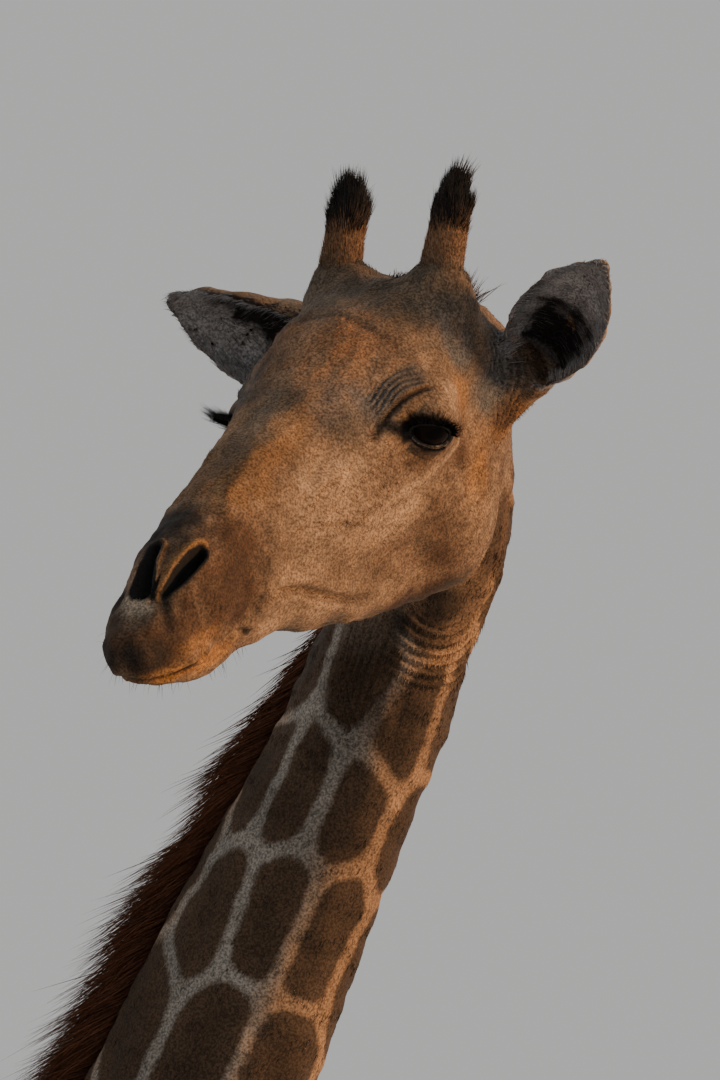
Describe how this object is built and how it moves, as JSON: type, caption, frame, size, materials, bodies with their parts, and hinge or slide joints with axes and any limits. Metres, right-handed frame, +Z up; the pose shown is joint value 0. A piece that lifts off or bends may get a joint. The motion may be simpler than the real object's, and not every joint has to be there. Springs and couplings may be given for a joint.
{
  "type": "giraffe",
  "caption": "Still, life-size female giraffe standing at rest, neck sloping forward and head turned to look over the right side, with a patched tan coat, crest mane and tufted ossicones.",
  "frame": {"origin": "centre of the base of the object's box, on the floor under the soles", "axes": "+Z up, +X towards the chest, +Y the animal's left side"},
  "size_m": [2.597, 1.006, 4.2019],
  "materials": {
    "coat": "short dense fur, matte",
    "ear": "thin furred skin, matte",
    "dark_hair": "long coarse black hair",
    "mane": "stiff upright hair",
    "eye": "wet gloss",
    "hoof": "worn horn"
  },
  "bodies": {
    "root": {"head": "coat", "neck_upper": "coat", "neck_lower": "coat", "trunk": "coat", "foreleg_left": "coat", "foreleg_right": "coat", "hindleg_left": "coat", "hindleg_right": "coat", "tail": "coat", "tail_tassel": "dark_hair", "mane_upper": "mane", "mane_lower": "mane", "ossicone_left": "coat", "ossicone_right": "coat", "ear_left": "ear", "ear_right": "ear", "eye_left": "eye", "eye_right": "eye", "claw_fore_left_inner": "hoof", "claw_fore_left_outer": "hoof", "claw_fore_right_inner": "hoof", "claw_fore_right_outer": "hoof", "claw_hind_left_inner": "hoof", "claw_hind_left_outer": "hoof", "claw_hind_right_inner": "hoof", "claw_hind_right_outer": "hoof"}
  },
  "joints": []
}
